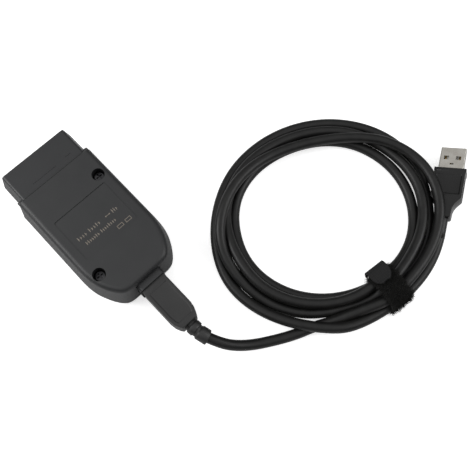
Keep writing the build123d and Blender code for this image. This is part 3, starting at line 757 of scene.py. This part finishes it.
# %% The band
tie_out = Vector((math.cos(TIE_TURN), math.sin(TIE_TURN), 0))
tie_along = Vector((-tie_out.y, tie_out.x, 0))
BAND_OUTLINE = [                     # reach from the coil's centre, height
    (36.1, 7.6), (36.9, 10.4), (38.9, 11.9), (42.0, 12.35), (46.0, 12.4), (50.0, 12.2),
    (53.0, 10.9), (55.0, 8.0), (55.6, 4.6), (54.6, 1.6), (52.0, 0.5), (47.0, 0.45), (42.0, 0.45),
    (39.2, 1.3), (37.2, 4.0),
]
BAND_STEPS = [-6.2, -4.0, -1.4, 1.4, 4.0, 5.8]     # along the cords
BAND_THICK = 1.1
bpy.ops.object.select_all(action="DESELECT")
bpy.ops.mesh.primitive_circle_add(vertices=len(BAND_OUTLINE), radius=MM, fill_type="NOTHING")
band = bpy.context.object
band.name = band.data.name = "tie_band_pile"
for vertex, (reach, height) in zip(band.data.vertices, BAND_OUTLINE):
    vertex.co = (COIL_CENTRE + tie_out * reach + Vector((0, 0, height))
                 + tie_along * BAND_STEPS[0]) * MM
start_edit(band)
bpy.ops.mesh.select_all(action="SELECT")
step = BAND_STEPS[0]
for next_step in BAND_STEPS[1:]:
    bpy.ops.mesh.extrude_region_move(
        TRANSFORM_OT_translate={"value": tie_along * (next_step - step) * MM})
    step = next_step
bpy.ops.mesh.select_all(action="SELECT")
bpy.ops.mesh.normals_make_consistent(inside=False)
end_edit()
apply_modifier(band, "SUBSURF", levels=2, render_levels=2)
apply_modifier(band, "SOLIDIFY", thickness=BAND_THICK * MM, offset=-1)
select_only(band)
bpy.ops.object.shade_smooth()
stand_for(band, "tie_fabric", "cable", "tie_band")

# %% A few thousand fibres
FIBRES = 4200
FIBRE_LONG, FIBRE_THICK = (0.7, 2.1), 0.075
FIBRE_LEAN, FIBRE_CURL, FIBRE_TAPER = 0.55, (0.1, 0.65), 0.65
FIBRE_FLOOR = 0.12                   # no fibre goes below this height
RINGS_PER_FIBRE = 4
fibre_ring = np.array([(1.0, 0.0), (-0.5, 0.87), (-0.5, -0.87)])
bundle_middle = COIL_CENTRE + tie_out * 46 + Vector((0, 0, 6.2))
random = np.random.default_rng(11)


def pile(surface, keep):
    """Curled fibres standing on a mesh's kept faces: each is a thin three-sided tube."""
    mesh = surface.data
    faces = [face for face in mesh.polygons if keep(face.center / MM, face.normal)]
    area = np.array([face.area for face in faces])
    points, tube_faces = [], []
    for index in random.choice(len(faces), FIBRES, p=area / area.sum()):
        face = faces[index]
        share = random.dirichlet(np.ones(len(face.vertices)))
        foot = sum((mesh.vertices[v].co * float(s) for v, s in zip(face.vertices, share)), Vector())
        lean = Vector(random.normal(0, FIBRE_LEAN, 3))
        way = (face.normal + lean).normalized()
        sideways = way.cross(Vector(random.normal(0, 1, 3))).normalized()
        curl = sideways * random.uniform(*FIBRE_CURL)
        long = random.uniform(*FIBRE_LONG) * MM
        u = way.orthogonal().normalized()
        v = way.cross(u)
        base = len(points)
        for ring in range(RINGS_PER_FIBRE):
            t = ring / (RINGS_PER_FIBRE - 1)
            centre = foot + (way * t + curl * t * t) * long
            centre.z = max(centre.z, FIBRE_FLOOR * MM)
            thick = FIBRE_THICK * MM * (1.0 - FIBRE_TAPER * t)
            points.extend(centre + (u * a + v * b) * thick for a, b in fibre_ring)
        for ring in range(RINGS_PER_FIBRE - 1):
            low = base + 3 * ring
            tube_faces.extend(
                (low + k, low + (k + 1) % 3, low + 3 + (k + 1) % 3, low + 3 + k) for k in range(3))
        tube_faces.append((base + 2, base + 1, base))
        tube_faces.append(tuple(base + 3 * (RINGS_PER_FIBRE - 1) + k for k in range(3)))
    fuzz = bpy.data.meshes.new("tie_fibres")
    fuzz.from_pydata([tuple(point) for point in points], [], tube_faces)
    return fuzz


fibres = bpy.data.objects.new("tie_fibres", pile(
    band, lambda centre, normal: centre.z > 0.9 and normal.dot(centre - bundle_middle) > 0))
bpy.context.scene.collection.objects.link(fibres)
stand_for(fibres, "tie_fabric", "cable")
print("tie band with", len(fibres.data.polygons), "fibre faces")

# %% [markdown]
# ### The tab
# The woven end comes up from the inside of the coil, folds over and lies on the band with its
# rounded end outwards, lifting a little where it has been opened often. It is drawn as a flat
# strip on a grid, so that its ribs can be raised as geometry, then given the tape's thickness.

# %% The tab
TAB_WIDE, TAB_THICK, TAB_OFFSET = 10.2, 0.9, -1.4
TAB_PATH = [                         # reach, height: up the inside, over the fold, out on top
    (35.7, 9.4), (34.9, 10.9), (34.5, 12.3), (34.9, 13.3), (36.0, 13.75), (37.6, 13.75),
    (39.3, 13.6), (40.9, 13.7), (42.3, 13.95),
]
RIBS, RIB_HIGH = 7, 0.09
END_ROUND = 4.6                      # the end narrows over this length
TIP_WIDE = 0.38                      # the width it narrows towards, as a share of the tab's
TIP_LEAST = 0.4                      # the narrowest it gets
CUTS_ALONG, CUTS_ACROSS = 40, 29
bpy.ops.object.select_all(action="DESELECT")
bpy.ops.mesh.primitive_grid_add(x_subdivisions=CUTS_ALONG, y_subdivisions=CUTS_ACROSS, size=1.0)
tab = bpy.context.object
tab.name = tab.data.name = "tie_tab_woven"
path = np.array(TAB_PATH)
run = np.concatenate([[0], np.cumsum(np.linalg.norm(np.diff(path, axis=0), axis=1))])
for vertex in tab.data.vertices:
    t, s = vertex.co.x + 0.5, vertex.co.y * 2
    from_end = (1 - t) * run[-1]
    shrink = 1.0
    if from_end < END_ROUND:
        rounding = math.sqrt(max(0.0, 1 - ((END_ROUND - from_end) / END_ROUND) ** 2))
        shrink = max(TIP_LEAST, rounding * (1 - TIP_WIDE) + TIP_WIDE)
    reach = float(np.interp(t * run[-1], run, path[:, 0]))
    height = float(np.interp(t * run[-1], run, path[:, 1]))
    rib = RIB_HIGH * math.cos(RIBS * math.pi * s) * (1 - abs(s) ** 8)
    across = s * shrink * TAB_WIDE / 2 + TAB_OFFSET
    vertex.co = (COIL_CENTRE + tie_out * reach + tie_along * across
                 + Vector((0, 0, height + rib))) * MM
start_edit(tab)
bpy.ops.mesh.select_all(action="SELECT")
bpy.ops.mesh.normals_make_consistent(inside=False)
bpy.ops.mesh.vertices_smooth(factor=0.4, repeat=1)
end_edit()
apply_modifier(tab, "SOLIDIFY", thickness=TAB_THICK * MM, offset=-1)
soften(tab, 0.15, 2, 50)
stand_for(tab, "tie_woven", "cable", "tie_tab")
print("tab", round(run[-1], 1), "mm long")

# %% [markdown]
# ## The print in the label's recess
# There are no words. In their place stand rows of plain blocks, a double-headed arrow between two
# of them and two plain outlines, pad-printed in pale ink. Each is a very thin raised shape, because
# ink stands a few hundredths of a millimetre proud.

# %% Print blocks
RECESS_DEEP, INK = 0.3, 0.03
LABEL_FLOOR = corners_mm("top_shell")[1].z - RECESS_DEEP
ink = plastic("label_ink", (0.15, 0.125, 0.10), (0.20, 0.175, 0.145), (0.55, 0.7), 3000, 2e-6)
prints = []


def printed(corners):
    """Print one flat shape on the recess floor, from its corners (x, y) in millimetres."""
    bpy.ops.object.select_all(action="DESELECT")
    bpy.ops.mesh.primitive_circle_add(vertices=len(corners), radius=MM, fill_type="NGON")
    shape = bpy.context.object
    for vertex, (x, y) in zip(shape.data.vertices, corners):
        vertex.co = (x * MM, y * MM, LABEL_FLOOR * MM)
    start_edit(shape)
    bpy.ops.mesh.select_all(action="SELECT")
    bpy.ops.mesh.extrude_region_move(TRANSFORM_OT_translate={"value": (0, 0, INK * MM)})
    bpy.ops.mesh.select_all(action="SELECT")
    bpy.ops.mesh.normals_make_consistent(inside=False)
    end_edit()
    prints.append(shape)


def block(x, y, tall, wide):
    """Print a rectangle that reaches from its foot at x towards -X, and from y towards +Y."""
    printed([(x - tall, y), (x, y), (x, y + wide), (x - tall, y + wide)])


STEM, BAR = 0.3, 0.24                # widths of a block's upright and of its crossbar
SHORT, BAR_AT, BAR_LONG = 0.74, 0.42, 0.32     # shares of the height, height and pitch
ROWS = [                             # foot, start, blocks in each group, height, pitch
    (7.0, -11.9, (4, 5), 2.0, 1.38), (7.0, 8.2, (3,), 2.0, 1.1), (10.9, -10.2, (7, 8), 1.8, 1.12),
]
for foot, start, groups, tall, pitch in ROWS:
    y = start
    for count in groups:
        for place_in_group in range(count):
            full = place_in_group == 0 or (place_in_group * 5 + count) % 4 == 0
            high = tall if full else tall * SHORT
            block(foot, y, high, STEM)
            block(foot - high * BAR_AT, y + STEM, BAR, pitch * BAR_LONG)
            y += pitch
        y += pitch * 0.7
ARROW_X, ARROW_Y, ARROW_HALF = 6.1, 5.6, 1.5
HEAD_LONG, HEAD_HALF = 0.6, 0.45
for sign in (-1, 1):
    tip = ARROW_Y + sign * ARROW_HALF
    back = tip - sign * HEAD_LONG
    printed([(ARROW_X - HEAD_HALF, back), (ARROW_X, tip), (ARROW_X + HEAD_HALF, back)])
block(ARROW_X + BAR / 2, ARROW_Y - 0.9, BAR, 1.8)
MARK_X, MARK_TALL, MARK_WIDE, MARK_STROKE, MARK_SIDE = 14.9, 1.5, 3.2, 0.26, 1.16
for y in (5.0, 9.6):
    block(MARK_X, y, MARK_STROKE, MARK_WIDE)
    block(MARK_X - MARK_TALL, y, MARK_STROKE, MARK_WIDE)
    block(MARK_X - MARK_STROKE, y, MARK_SIDE, MARK_STROKE)
    block(MARK_X - MARK_STROKE, y + MARK_WIDE - MARK_STROKE, MARK_SIDE, MARK_STROKE)
select_only(prints[0])
for shape in prints:
    shape.select_set(True)
bpy.ops.object.join()
label = bpy.context.object
label.name = label.data.name = "label_print"
label.data.materials.clear()
label.data.materials.append(ink)
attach(label, "reader")
print("label print:", len(prints), "shapes")
